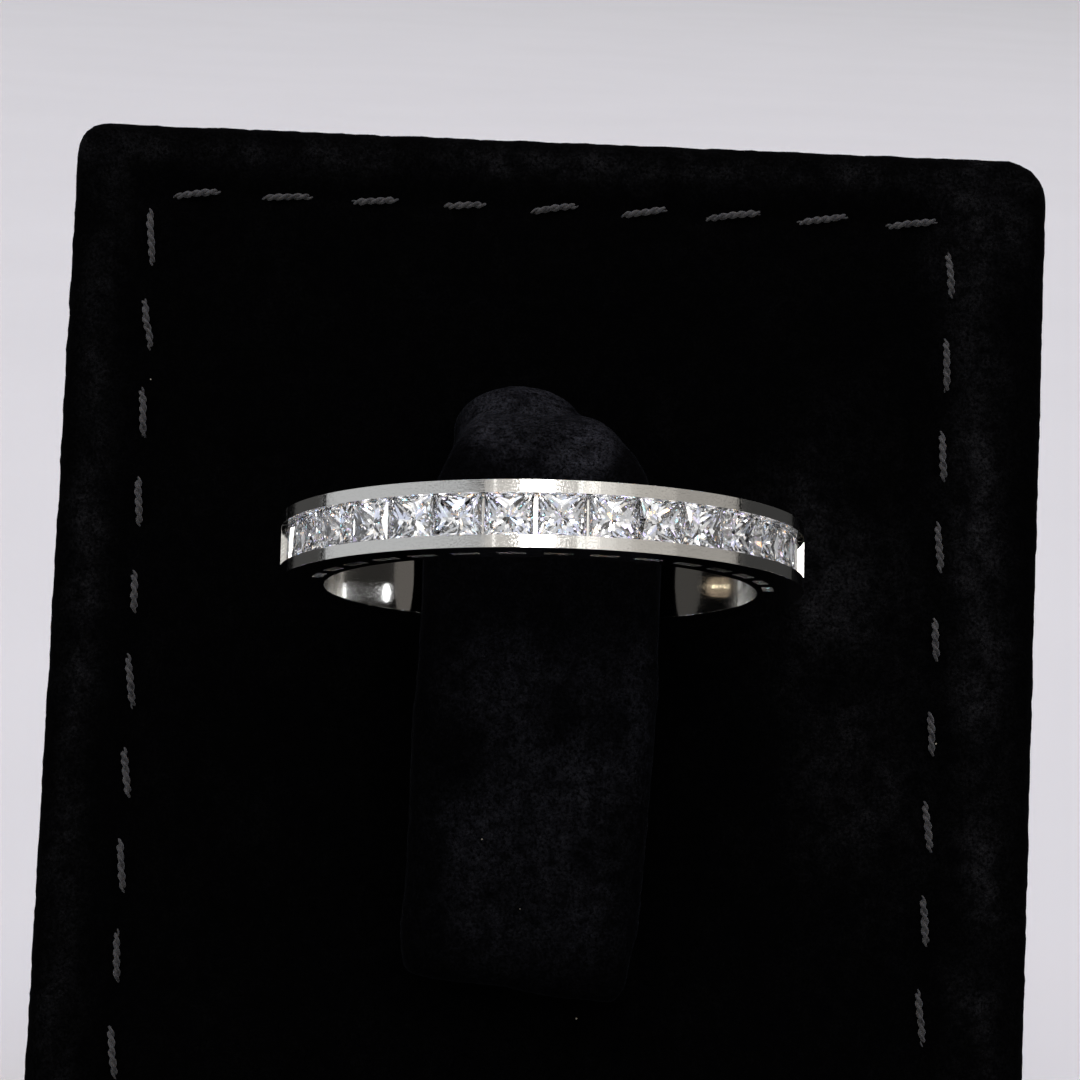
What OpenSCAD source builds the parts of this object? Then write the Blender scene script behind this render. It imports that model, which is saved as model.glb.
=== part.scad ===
// Channel-set band ring with a row of square stones, held on a small padded display stand.
// The stand leans back. The ring hangs square to the board, on a tongue that passes through it.
// Origin: middle of the board's foot, on the surface that the stand stands on. +Z up, +X right, -Y front.

/* [Ring] */
// Radius of the finger hole
finger_r = 8.95; // [8:0.05:9.5]
// Metal thickness at the front, under the stones
head_t = 2.4; // [2.3:0.05:2.9]
// Metal thickness at the back of the shank
shank_t = 1.3; // [1.2:0.1:2.2]
// Width of the band along the finger
band_w = 2.65; // [2.6:0.05:3.2]
// Width of the flat top of each rail
rail_w = 0.5; // [0.48:0.01:0.55]
// Small bevel on the band's sharp edges
edge_bevel = 0.07; // [0.03:0.01:0.1]

/* [Stones] */
// Number of stones in the channel
stone_count = 15; // [7:2:15]
// Side of one square stone
stone_w = 1.95; // [1.9:0.01:1.96]
// Space between neighbouring stones at the girdle
stone_gap = 0.07; // [0.06:0.01:0.12]
// Depth of the tables below the tops of the rails
table_recess = 0.26; // [0.26:0.01:0.3]

/* [Windows] */
// Length of one window round the ring
window_l = 1.15; // [0.8:0.05:1.3]
// Height of one window
window_h = 0.45; // [0.3:0.05:0.5]

/* [Stand] */
// Width of the board
board_w = 44; // [40:0.5:50]
// Height of the board, measured along it
board_h = 54.5; // [50:0.5:60]
// Thickness of the board
board_t = 3; // [2.5:0.1:4]
// Lean of the board back from upright
lean = 20; // [15:1:25]
// Height of the ring above the board's foot, measured along it
ring_height = 33.5; // [30:0.1:36]
// Place of the ring and tongue across the board, right of its middle line
ring_side = -0.13; // [-1:0.01:1]
// Turn of the ring round the tongue, which shifts the row of stones to one side
ring_turn = 3.9; // [-10:0.1:10]
// Angle by which the ring hangs off square, as seen from the front
ring_cant = 1.2; // [-2:0.1:2]
// Width of the tongue at its widest
tongue_w = 10.5; // [9:0.1:10.8]
// Thickness of the tongue
tongue_t = 3; // [2.5:0.1:3]

/* [Hidden] */
STONES = [for (i = [1 : 15]) str("stone_", i < 10 ? "0" : "", i)];
$fn = 96;

// Ring: outer radius, and how far the finger hole lies behind the centre
ring_r = finger_r + (head_t + shank_t) / 2;
hole_offset = (head_t - shank_t) / 2;
half_band = band_w / 2;

// Stone: the heights are measured from the upper edge of the girdle
crown_h = 0.26;
girdle_h = 0.05;
pavilion_h = 1.12;
half_stone = stone_w / 2;
half_table = 0.72 * half_stone;
table_corner = 0.42 * half_stone;
// Middle line of one side of the pavilion, as shares of half the stone and of the pavilion's depth
upper_chevron = [0.74, 0.375];
lower_chevron = [0.41, 0.715];

// Places along the radius, and the angle from one stone to the next
table_r = ring_r - table_recess;
girdle_r = table_r - crown_h;
pitch = 2 * atan((stone_w + stone_gap) / 2 / girdle_r);
channel_half_angle = stone_count * pitch / 2 + 0.3;

// Channel: half widths of its mouth, of the groove that holds the girdles, and of the space below
half_mouth = half_band - rail_w;
half_groove = half_stone + 0.03;
half_gallery = 0.75;
groove_top_r = girdle_r + 0.05;
groove_slope = half_groove - half_mouth;
groove_bottom_r = girdle_r - 0.13;
gallery_top_r = girdle_r - 0.68;
window_r = girdle_r - 0.93;
channel_floor_r = window_r - window_h / 2 - 0.06;

// Stand
board_corner_r = 1.6;
board_edge_r = 1.2;
ring_gap = 0.1;
ring_stand_off = ring_r + ring_gap;
foot_depth = board_t / cos(lean);
tongue_gap = 0.06;
leg_w = 22;
leg_t = 1.8;
leg_gap = 0.05;
leg_fold = 0.72 * board_h;
leg_flange = 8;
leg_spread = 26;

// Board frame: x across the board, y into it from its front face, z up along it
module on_board() {
    translate([0, -foot_depth / 2, 0]) rotate([-lean, 0, 0]) children();
}

// Ring frame: z along the finger, -y through the middle of the stones
module on_tongue() {
    on_board() translate([ring_side, -ring_stand_off, ring_height])
        rotate([0, -ring_cant, 0]) rotate([0, 0, ring_turn]) children();
}

function stone_angle(i) = (i - (stone_count - 1) / 2) * pitch;

// Blank of the band: a wide ring with bevelled edges, bored off centre for the finger
module band_blank() {
    difference() {
        rotate_extrude() polygon([
            [finger_r / 2, -half_band],
            [ring_r - edge_bevel, -half_band],
            [ring_r, edge_bevel - half_band],
            [ring_r, half_band - edge_bevel],
            [ring_r - edge_bevel, half_band],
            [finger_r / 2, half_band]
        ]);
        translate([0, hole_offset, 0]) {
            cylinder(r = finger_r, h = 2 * band_w, center = true);
            for (side = [-1, 1]) translate([0, 0, side * half_band])
                cylinder(r1 = finger_r + (1 - side) * edge_bevel, r2 = finger_r + (1 + side) * edge_bevel,
                         h = 2 * edge_bevel, center = true);
        }
    }
}

// Channel: its mouth, the groove that grips the girdles from both sides, and the space below the stones
module channel() {
    half_section = [
        [ring_r + 1, half_mouth + edge_bevel / 2],
        [ring_r, half_mouth + edge_bevel / 2],
        [ring_r - edge_bevel / 2, half_mouth],
        [groove_top_r + groove_slope, half_mouth],
        [groove_top_r, half_groove],
        [groove_bottom_r, half_groove],
        [gallery_top_r, half_gallery],
        [channel_floor_r, half_gallery]
    ];
    other_half = [for (i = [len(half_section) - 1 : -1 : 0]) [half_section[i][0], -half_section[i][1]]];
    rotate([0, 0, -90 - channel_half_angle])
        rotate_extrude(angle = 2 * channel_half_angle) polygon(concat(half_section, other_half));
}

// One window under each stone, cut through both side walls
module windows() {
    for (i = [0 : stone_count - 1])
        rotate([0, 0, stone_angle(i)]) translate([0, -window_r, 0])
            cube([window_l, window_h, 2 * band_w], center = true);
}

module band() {
    color("gainsboro") on_tongue() difference() {
        band_blank();
        channel();
        windows();
    }
}

// Princess cut, table up: an eight-sided table, a crown of bevels, and a pavilion of chevrons
module princess_stone() {
    quarter_turn = [for (k = [0 : 3]) [round(cos(90 * k)), round(sin(90 * k))]];
    function turned(p, q) = [p[0] * q[0] - p[1] * q[1], p[0] * q[1] + p[1] * q[0], p[2]];
    function all_round(p) = [for (q = quarter_turn) turned(p, q)];
    points = concat(
        all_round([half_table, table_corner, crown_h]),
        all_round([table_corner, half_table, crown_h]),
        all_round([half_stone, half_stone, 0]),
        all_round([half_stone, half_stone, -girdle_h]),
        all_round([half_stone * upper_chevron[0], 0, -girdle_h - pavilion_h * upper_chevron[1]]),
        all_round([half_stone * lower_chevron[0], 0, -girdle_h - pavilion_h * lower_chevron[1]]),
        [[0, 0, -girdle_h - pavilion_h]]
    );
    table_edge = 0;
    table_end = 4;
    girdle_top = 8;
    girdle_low = 12;
    chevron_high = 16;
    chevron_low = 20;
    culet = 24;
    table = [for (k = [3 : -1 : 0]) each [table_end + k, table_edge + k]];
    sides = [for (k = [0 : 3]) let (next = (k + 1) % 4, last = (k + 3) % 4) each [
        [table_edge + k, table_end + k, girdle_top + k],
        [table_end + last, table_edge + k, girdle_top + k, girdle_top + last],
        [girdle_top + k, girdle_top + next, girdle_low + next, girdle_low + k],
        [girdle_low + last, girdle_low + k, chevron_high + k],
        [girdle_low + k, chevron_low + k, chevron_high + k],
        [girdle_low + last, chevron_high + k, chevron_low + k],
        [girdle_low + k, culet, chevron_low + k],
        [girdle_low + last, chevron_low + k, culet]
    ]];
    polyhedron(points, concat([table], sides));
}

module stone(i) {
    color("aliceblue") on_tongue() rotate([0, 0, stone_angle(i)])
        translate([0, -girdle_r, 0]) rotate([90, 0, 0]) princess_stone();
}

// Padded board: rounded corners, edges rounded front and back, foot cut level with the surface
module board() {
    color("dimgray") difference() {
        on_board() translate([0, board_t / 2, board_h / 2]) intersection() {
            board_outline();
            board_side_profile();
            board_plan_profile();
        }
        translate([0, 0, -board_h / 2]) cube(board_h, center = true);
    }
}

module board_outline() {
    inner_w = board_w / 2 - board_corner_r;
    inner_h = board_h / 2 - board_corner_r;
    rotate([90, 0, 0]) linear_extrude(2 * board_t, center = true) union() {
        square([board_w, 2 * inner_h], center = true);
        square([2 * inner_w, board_h], center = true);
        for (x = [-1, 1], z = [-1, 1]) translate([x * inner_w, z * inner_h]) circle(board_corner_r);
    }
}

// Side view of the board: rounded top edge, and enough length below for the level foot
module board_side_profile() {
    half_t = board_t / 2;
    inner_top = board_h / 2 - board_edge_r;
    rotate([90, 0, 90]) linear_extrude(2 * board_w, center = true) union() {
        translate([-half_t, -board_h]) square([board_t, board_h + inner_top]);
        translate([board_edge_r - half_t, 0]) square([board_t - 2 * board_edge_r, board_h / 2]);
        for (y = [-1, 1]) translate([y * (half_t - board_edge_r), inner_top]) circle(board_edge_r);
    }
}

// Top view of the board: rounded left and right edges
module board_plan_profile() {
    inner_w = board_w / 2 - board_edge_r;
    inner_t = board_t / 2 - board_edge_r;
    linear_extrude(2 * board_h, center = true) union() {
        square([2 * inner_w, 2 * board_t], center = true);
        square([board_w, 2 * inner_t], center = true);
        for (x = [-1, 1], y = [-1, 1]) translate([x * inner_w, y * inner_t]) circle(board_edge_r);
    }
}

// Tongue: leaves the board above the ring, bends down through it and comes back to the board below.
// Stations down its middle: height from the ring, distance off the board, path angle from level,
// half width, half thickness, and place to the right of the ring's middle.
function tongue_stations() = let (t = tongue_t / 2, w = tongue_w / 2) [
    [ 6.9, tongue_gap, 0, 0.65 * w, 1.45 * t, -0.5],
    [ 6.8, 1.5, 10, 0.67 * w, 1.35 * t, -0.45],
    [ 6.2, 3.0, 34, 0.74 * w, 1.15 * t, -0.3],
    [ 5.1, 4.15, 60, 0.84 * w, t, -0.1],
    [ 3.6, 4.55, 84, 0.93 * w, t, 0],
    [ 1.5, 4.55, 90, w, t, 0],
    [-4.5, 4.55, 90, w, t, 0.05],
    [-6.5, 4.3, 98, w, t, 0.05],
    [-9.5, 3.6, 103, w, t, 0],
    [-13.5, 2.6, 104, w, 0.97 * t, -0.1],
    [-16.2, 1.95, 104, 0.97 * w, 0.85 * t, -0.3],
    [-17.1, 1.72, 104, 0.92 * w, 0.55 * t, -0.4],
    [-17.4, 1.64, 104, 0.86 * w, 0.2 * t, -0.4]
];

// One cross-section of the tongue: a flat strip with full round edges
function tongue_section(s) = let (
    sides = 16, straight = s[3] - s[4]
) [for (k = [0 : sides - 1]) let (
    a = 360 * (k + 0.5) / sides,
    across = s[4] * cos(a) + (cos(a) > 0 ? straight : -straight),
    out = s[4] * sin(a)
) [s[5] + across, -s[1] - out * sin(s[2]), s[0] + out * cos(s[2])]];

module tongue() {
    sides = 16;
    stations = tongue_stations();
    last = len(stations) - 1;
    points = [for (s = stations) each tongue_section(s)];
    skin = [for (row = [0 : last - 1], k = [0 : sides - 1]) let (
        a = row * sides + k, b = row * sides + (k + 1) % sides
    ) each [[a, b, a + sides], [b, b + sides, a + sides]]];
    root = [for (k = [sides - 1 : -1 : 0]) k];
    tip = [for (k = [0 : sides - 1]) last * sides + k];
    color("dimgray") on_board() translate([ring_side, 0, ring_height])
        polyhedron(points, concat(skin, [root, tip]));
}

// Easel leg: a flange glued to the back of the board, folded down to a foot on the surface
function board_point(y, z) = [
    y * cos(lean) + z * sin(lean) - foot_depth / 2,
    z * cos(lean) - y * sin(lean)
];

module easel_leg() {
    front = board_t + leg_gap;
    back = front + leg_t;
    fold = board_point(front, leg_fold);
    foot_y = fold[0] + fold[1] * tan(leg_spread);
    color("dimgray") rotate([90, 0, 90]) linear_extrude(leg_w, center = true) polygon([
        board_point(front, leg_fold + leg_flange),
        fold,
        [foot_y, 0],
        [foot_y + leg_t / cos(leg_spread), 0],
        board_point(back, leg_fold),
        board_point(back, leg_fold + leg_flange)
    ]);
}

band();
board();
tongue();
easel_leg();
for (i = [0 : stone_count - 1]) stone(i);
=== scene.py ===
import math
import random

import bmesh
import bpy
from mathutils import Matrix, Vector, noise


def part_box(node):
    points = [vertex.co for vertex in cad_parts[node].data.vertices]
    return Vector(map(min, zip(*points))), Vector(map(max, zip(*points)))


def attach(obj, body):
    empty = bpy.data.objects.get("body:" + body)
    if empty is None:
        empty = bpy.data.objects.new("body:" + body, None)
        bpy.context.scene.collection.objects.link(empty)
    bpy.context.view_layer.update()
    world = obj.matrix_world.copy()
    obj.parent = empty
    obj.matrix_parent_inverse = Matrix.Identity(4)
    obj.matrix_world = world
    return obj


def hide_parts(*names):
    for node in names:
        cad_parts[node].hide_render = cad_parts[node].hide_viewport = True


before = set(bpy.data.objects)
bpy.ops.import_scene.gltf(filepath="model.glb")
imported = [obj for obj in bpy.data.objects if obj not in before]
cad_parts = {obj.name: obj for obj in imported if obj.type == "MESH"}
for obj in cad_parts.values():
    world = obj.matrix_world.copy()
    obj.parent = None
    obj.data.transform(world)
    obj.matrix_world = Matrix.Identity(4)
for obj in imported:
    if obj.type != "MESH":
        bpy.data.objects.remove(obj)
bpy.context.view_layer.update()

# The board of the stand. Stiff card and a thin foam pad under black velvet, which is drawn round
# the edges and sewn down along a border. It leans back and stands on its level foot.
# Its own frame, in millimetres: x across, y into the board from its face, z up along it.
MM = 0.001
LEAN = math.radians(20)
board_w = 44
board_h = 54.5
board_t = 3
board_edge_r = 1.2
board_left_corner_r = 1.3
board_right_corner_r = 1.9
board_foot_taper = 0.016
border_top = 51.15
border_foot = 4.0
border_left = (-18.35, -17.7)
border_right = (17.65, 16.9)
border_dip = 0.16
border_dip_w = 0.5
board_voxel = 0.3
corner_steps = 6
# A face whose normal is nearer than this to straight down belongs to the foot, and has no pile.
foot_facing = -0.7

board_low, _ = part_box("board")
board_place = (Matrix.Translation((0, board_low.y, 0)) @ Matrix.Rotation(-LEAN, 4, "X")
               @ Matrix.Scale(MM, 4))


def worked(mesh, *steps):
    """The mesh after these modifiers, each given as its kind and its settings."""
    holder = bpy.data.objects.new("holder", mesh)
    bpy.context.scene.collection.objects.link(holder)
    for kind, settings in steps:
        modifier = holder.modifiers.new(kind, kind)
        for setting, value in settings.items():
            setattr(modifier, setting, value)
    made = bpy.data.meshes.new_from_object(
        holder.evaluated_get(bpy.context.evaluated_depsgraph_get()))
    bpy.data.objects.remove(holder)
    return made


def closed_mesh(name, points, faces):
    """A mesh of these points and faces."""
    mesh = bpy.data.meshes.new(name)
    mesh.from_pydata(points, [], faces)
    mesh.validate()
    return mesh


def fitted(name, mesh, place, material, smooth=True):
    """A piece of the object: its mesh put in its place, with its material, riding on the one body."""
    mesh.transform(place)
    mesh.name = name
    mesh.materials.clear()
    mesh.materials.append(material)
    if smooth:
        mesh.polygons.foreach_set("use_smooth", [True] * len(mesh.polygons))
    piece = bpy.data.objects.new(name, mesh)
    bpy.context.scene.collection.objects.link(piece)
    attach(piece, "root")
    return piece


def blend(low, high, share):
    """The number that lies this share of the way from low to high."""
    return low + (high - low) * share


def side_of_border(ends, z):
    """Where a side row of stitches runs across the board, at height z."""
    return blend(ends[1], ends[0], z / border_top)


def bump_of(distance, width):
    """A smooth hill, 1 in its middle, that fades to nothing past its width."""
    return math.exp(-(distance / width) ** 2)


def border_nearness(x, z):
    """1 on the sewn border and 0 away from it."""
    inside_rows = border_foot - 1 < z < border_top + 1
    inside_sides = side_of_border(border_left, z) - 1 < x < side_of_border(border_right, z) + 1
    near = [
        bump_of(z - border_top, border_dip_w) * inside_sides,
        bump_of(z - border_foot, border_dip_w) * inside_sides,
        bump_of(x - side_of_border(border_left, z), border_dip_w) * inside_rows,
        bump_of(x - side_of_border(border_right, z), border_dip_w) * inside_rows,
    ]
    return max(near)


def cover_depth(x, z):
    """How far the velvet of the face lies below its highest level: it dips along the border."""
    swell = 0.09 * noise.noise(Vector((x * 0.16, 3.1, z * 0.16)))
    return 0.1 + border_dip * border_nearness(x, z) - swell


def pile_height(point, fullness=1.0):
    """Clumps of pile, from tufts a millimetre across down to a few tenths."""
    coarse = noise.noise(point * 0.7)
    middle = noise.noise(point * 1.9 + Vector((7, 0, 3)))
    fine = noise.noise(point * 4.3 + Vector((0, 5, 1)))
    return fullness * (0.045 * coarse + 0.035 * middle + 0.03 * fine)


def board_outline():
    """The outline seen from the front, with a small corner at the left and a larger one at the right."""
    corners = [
        (-board_w / 2, 0, board_left_corner_r, 180),
        (board_w / 2, 0, board_right_corner_r, 270),
        (board_w / 2, board_h, board_right_corner_r, 0),
        (-board_w / 2, board_h, board_left_corner_r, 90),
    ]
    points = []
    for x, z, r, start in corners:
        centre_x = x - math.copysign(r, x)
        centre_z = z + r if z == 0 else z - r
        for step in range(corner_steps + 1):
            turn = math.radians(start + 90 / corner_steps * step)
            points.append((centre_x + r * math.cos(turn), centre_z + r * math.sin(turn)))
    return points


def board_blank():
    """The board as a plain slab with rounded edges, its foot cut level."""
    form = bmesh.new()
    face = form.faces.new([form.verts.new((x, 0, z)) for x, z in board_outline()])
    swept = bmesh.ops.extrude_face_region(form, geom=[face])
    bmesh.ops.translate(form, vec=(0, board_t, 0),
                        verts=[part for part in swept["geom"] if isinstance(part, bmesh.types.BMVert)])
    bmesh.ops.recalc_face_normals(form, faces=form.faces)
    rims = [edge for edge in form.edges
            if abs(edge.verts[0].co.y - edge.verts[1].co.y) < 1e-6]
    bmesh.ops.bevel(form, geom=rims, offset=board_edge_r, segments=6, profile=0.5, affect="EDGES")
    level = Vector((0, -math.sin(LEAN), math.cos(LEAN)))
    cut = bmesh.ops.bisect_plane(form, geom=form.verts[:] + form.edges[:] + form.faces[:],
                                 plane_co=(0, 0, 0), plane_no=level, clear_inner=True)
    rim = [part for part in cut["geom_cut"] if isinstance(part, bmesh.types.BMEdge)]
    bmesh.ops.contextual_create(form, geom=rim)
    mesh = bpy.data.meshes.new("board_blank")
    form.to_mesh(mesh)
    form.free()
    return mesh


def front_painted_sheen(x, z):
    """Painted sheen and painted highlights, from 0 to 1, over the face of the board."""
    # Painted highlights along the rounded right, left and top edges and round the top right corner; lighter
    # painted sheen beside and below the ring, and a faint painted sheen in streaky patches all over.
    right_strip = bump_of(x - blend(20.2, 18.6, z / board_h), 1.1) * min(1, max(0, (z - 6) / 20))
    left_strip = 0.6 * bump_of(x + 20.4, 0.8)
    top_strip = 0.6 * bump_of(z - 53.2, 0.7)
    corner = bump_of(math.hypot(x - 19.0, z - 50.5), 2.2)
    by_the_ring = 0.8 * bump_of(math.hypot((x - 12.5) / 1.2, (z - 35) / 2.2), 2.2)
    under_it = 0.45 * bump_of(math.hypot(x - 14, (z - 27) / 1.8), 3.0)
    patches = 0.5 + 0.9 * noise.noise(Vector((x * 0.35, 1.7, z * 0.35)))
    streaks = 0.5 + 0.8 * noise.noise(Vector((x * 0.9, 9.2, z * 0.45)))
    marks = max(right_strip, left_strip, top_strip, corner, by_the_ring, under_it)
    return min(1, max(0, marks * (0.25 + 1.3 * patches * streaks) + 0.05 * patches * streaks))


def back_painted_sheen(x, z):
    """Painted sheen for the back, in broad random patches."""
    return min(1, max(0, 0.5 + 0.7 * noise.noise(Vector((x * 0.25, 6.6, z * 0.2)))))


def node(nodes, kind, **settings):
    """A shader node. A setting names an input, with _ for a space, or else a property of the node."""
    made = nodes.new("ShaderNode" + kind)
    for setting, value in settings.items():
        socket = setting.replace("_", " ")
        if socket in made.inputs:
            made.inputs[socket].default_value = value
        else:
            setattr(made, setting, value)
    return made


def new_finish(name):
    """A new material, with its nodes, its links and its shader."""
    finish = bpy.data.materials.new(name)
    finish.use_nodes = True
    tree = finish.node_tree
    return finish, tree.nodes, tree.links, tree.nodes["Principled BSDF"]


def in_millimetres(nodes, links, stretch=(1, 1, 1)):
    """The point of the object in millimetres, so that the scales of textures are per millimetre."""
    place = node(nodes, "TexCoord")
    scaled = node(nodes, "Mapping", Scale=[part / MM for part in stretch])
    links.new(place.outputs["Object"], scaled.inputs["Vector"])
    return scaled.outputs["Vector"]


def shaped(nodes, links, value, low, high, to_low=0.0, to_high=1.0):
    """The value with low to high stretched to to_low to to_high, and clipped there."""
    made = node(nodes, "MapRange", clamp=True)
    links.new(value, made.inputs["Value"])
    for name, number in (("From Min", low), ("From Max", high), ("To Min", to_low), ("To Max", to_high)):
        made.inputs[name].default_value = number
    return made.outputs["Result"]


def combined(nodes, links, how, first, second):
    """The sum, product or other combination of two values, each a number or another node's output."""
    made = node(nodes, "Math", operation=how)
    for socket, value in zip(made.inputs, (first, second)):
        if isinstance(value, (int, float)):
            socket.default_value = value
        else:
            links.new(value, socket)
    return made.outputs["Value"]


def mixed(nodes, links, share, first, second):
    """A colour between two, each a colour or another node's output."""
    made = node(nodes, "Mix", data_type="RGBA")
    links.new(share, made.inputs[0])
    for socket, value in ((made.inputs[6], first), (made.inputs[7], second)):
        if isinstance(value, tuple):
            socket.default_value = (*value, 1)
        else:
            links.new(value, socket)
    return made.outputs[2]


def velvet_finish(name, black, lit, dust_colour, dust_cell):
    """Short-pile velvet: black down between the fibres, a faint blue grey of painted sheen where the value
    kept at each vertex asks for it, a fine clumped grain, and a few specks of pale dust."""
    finish, nodes, links, shader = new_finish(name)
    point = in_millimetres(nodes, links)
    fibres = node(nodes, "TexNoise", Scale=7.5, Detail=3, Roughness=0.75)
    tufts = node(nodes, "TexNoise", Scale=1.7, Detail=3, Roughness=0.65)
    for texture in (fibres, tufts):
        links.new(point, texture.inputs["Vector"])
    # Painted sheen: the value kept at each vertex mixes the lit blue grey over the black.
    painted_sheen = node(nodes, "Attribute", attribute_name="painted_sheen")
    mottle = combined(nodes, links, "MULTIPLY", shaped(nodes, links, fibres.outputs["Fac"], 0.35, 0.68),
                      shaped(nodes, links, tufts.outputs["Fac"], 0.35, 0.65, 0.25, 1.0))
    sheen_share = combined(nodes, links, "MULTIPLY", mottle,
                       shaped(nodes, links, painted_sheen.outputs["Fac"], 0.0, 1.0, 0.03, 1.0))
    cloth = mixed(nodes, links, sheen_share, black, lit)
    cells = node(nodes, "TexVoronoi", Scale=1 / dust_cell, Randomness=1.0)
    links.new(point, cells.inputs["Vector"])
    speck = node(nodes, "SeparateColor")
    links.new(cells.outputs["Color"], speck.inputs["Color"])
    size = shaped(nodes, links, speck.outputs["Red"], 0.62, 1.0, 0.0, 0.055 / dust_cell)
    dust = combined(nodes, links, "LESS_THAN", cells.outputs["Distance"], size)
    links.new(mixed(nodes, links, dust, cloth, dust_colour), shader.inputs["Base Color"])
    relief = node(nodes, "Bump", Strength=0.55, Distance=0.06 * MM)
    height = combined(nodes, links, "ADD", fibres.outputs["Fac"],
                      combined(nodes, links, "MULTIPLY", tufts.outputs["Fac"], 1.5))
    links.new(height, relief.inputs["Height"])
    links.new(relief.outputs["Normal"], shader.inputs["Normal"])
    links.new(shaped(nodes, links, mottle, 0, 1, 1.0, 0.82), shader.inputs["Roughness"])
    shader.inputs["Specular IOR Level"].default_value = 0.012
    shader.inputs["Sheen Weight"].default_value = 0.032
    shader.inputs["Sheen Roughness"].default_value = 0.28
    shader.inputs["Sheen Tint"].default_value = (0.32, 0.35, 0.42, 1)
    return finish


def keep_painted_sheen(mesh, amount):
    """Keeps the painted sheen at each vertex, for the velvet."""
    kept = mesh.attributes.new("painted_sheen", "FLOAT", "POINT")
    kept.data.foreach_set("value", [amount(vertex.co) for vertex in mesh.vertices])


def board_cover():
    """The slab remeshed evenly, then dipped along the border, roughened with pile and tapered."""
    mesh = worked(board_blank(), ("REMESH", {"mode": "VOXEL", "voxel_size": board_voxel}),
                  ("SMOOTH", {"factor": 0.5, "iterations": 2}))
    foot = Vector((0, -math.sin(LEAN), math.cos(LEAN)))
    for vertex, normal in zip(mesh.vertices, [Vector(each.vector) for each in mesh.vertex_normals]):
        x, y, z = vertex.co
        on_foot = normal.dot(foot) < foot_facing
        facing = max(0, -normal.y) ** 2
        out = pile_height(vertex.co) if not on_foot else 0
        vertex.co += normal * out
        vertex.co.y += facing * cover_depth(x, z)
        vertex.co.x *= 1 - board_foot_taper * (1 - z / board_h)
    return mesh


def board_painted_sheen(at):
    """The painted sheen at a point of the board, on its front or its back."""
    return front_painted_sheen(at.x, at.z) if at.y < board_t / 2 else back_painted_sheen(at.x, at.z)


board_mesh = board_cover()
keep_painted_sheen(board_mesh, board_painted_sheen)
pale_dust = (0.22, 0.20, 0.16)
board_velvet = velvet_finish("board_velvet", black=(0.0003, 0.0003, 0.00035), lit=(0.0150, 0.0150, 0.0160),
                             dust_colour=pale_dust, dust_cell=2.2)
board = fitted("velvet_board", board_mesh, board_place, board_velvet)
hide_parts("board")

# The stitches round the border of the board. Grey two-ply thread sewn through the velvet, one long
# stitch after another, each sunk into the pile at its ends.
stitch_length = 2.5
ply_r = 0.092
ply_twist_r = 0.07
ply_turn = 0.85
stitch_steps = 26
stitch_sides = 8
stitch_end_depth = 0.16


def stitch_point(start, end, share, rise):
    """A point on the middle of a stitch: over the pile in the middle, and under it at the ends."""
    x = blend(start[0], end[0], share)
    z = blend(start[1], end[1], share)
    wander = 0.05 * noise.noise(Vector((x * 1.3, 2.2, z * 1.3)))
    sunk = cover_depth(x, z) - rise * math.sin(math.pi * share) ** 0.6 + stitch_end_depth
    return Vector((x + wander, sunk, z + wander))


def sewn_stitches(name, centres, along, rise, lean):
    """A row of stitches, each of two plies that twist round each other, sunk unevenly into the pile."""
    points = []
    faces = []
    chance = random.Random(name)
    for x, z in centres:
        slant = lean + chance.uniform(-0.08, 0.08)
        half = stitch_length * chance.uniform(0.42, 0.56)
        own_rise = rise * chance.uniform(0.85, 1.12)
        step = (Matrix.Rotation(slant, 2) @ Vector(along)) * half
        start = (x - step.x, z - step.y)
        end = (x + step.x, z + step.y)
        run = Vector((step.x, 0, step.y)).normalized()
        out = Vector((0, -1, 0))
        side = run.cross(out)
        lead = chance.uniform(0, math.tau)
        for ply in (0, math.pi):
            base = len(points)
            for ring in range(stitch_steps + 1):
                share = ring / stitch_steps
                turn = lead + ply + math.tau * share * 2 * half / ply_turn
                middle = stitch_point(start, end, share, own_rise) + ply_twist_r * (
                    out * math.sin(turn) + side * math.cos(turn))
                worn = 1 + 0.25 * noise.noise(Vector((x, lead, 9 * share)))
                slim = worn * ply_r * (0.35 + 0.65 * min(1, 5 * share, 5 * (1 - share)))
                for corner in range(stitch_sides):
                    angle = math.tau * corner / stitch_sides
                    points.append(middle + slim * (out * math.sin(angle) + side * math.cos(angle)))
            for ring in range(stitch_steps):
                for corner in range(stitch_sides):
                    first = base + ring * stitch_sides + corner
                    second = base + ring * stitch_sides + (corner + 1) % stitch_sides
                    faces.append((first, second, second + stitch_sides, first + stitch_sides))
            last = base + stitch_steps * stitch_sides
            faces.append(tuple(reversed(range(base, base + stitch_sides))))
            faces.append(tuple(range(last, last + stitch_sides)))
    return closed_mesh(name, points, faces)


def thread_finish():
    """Spun thread: grey, with short fibres along it, and black where the pile of the velvet lies over it."""
    finish, nodes, links, shader = new_finish("border_thread")
    point = in_millimetres(nodes, links)
    fibre = node(nodes, "TexNoise", Scale=14.0, Detail=3, Roughness=0.7)
    links.new(point, fibre.inputs["Vector"])
    shade = mixed(nodes, links, shaped(nodes, links, fibre.outputs["Fac"], 0.3, 0.7),
                  (0.008, 0.008, 0.0085), (0.040, 0.039, 0.037))
    pile = node(nodes, "TexNoise", Scale=2.6, Detail=4, Roughness=0.75)
    links.new(point, pile.inputs["Vector"])
    buried = shaped(nodes, links, pile.outputs["Fac"], 0.5, 0.62)
    links.new(mixed(nodes, links, buried, shade, (0.004, 0.004, 0.005)), shader.inputs["Base Color"])
    relief = node(nodes, "Bump", Strength=0.5, Distance=0.02 * MM)
    links.new(fibre.outputs["Fac"], relief.inputs["Height"])
    links.new(relief.outputs["Normal"], shader.inputs["Normal"])
    shader.inputs["Roughness"].default_value = 0.72
    shader.inputs["Sheen Weight"].default_value = 0.2
    return finish


def row_of(first, last, count):
    """Evenly spaced numbers from the first to the last."""
    return [blend(first, last, index / (count - 1)) for index in range(count)]


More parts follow.
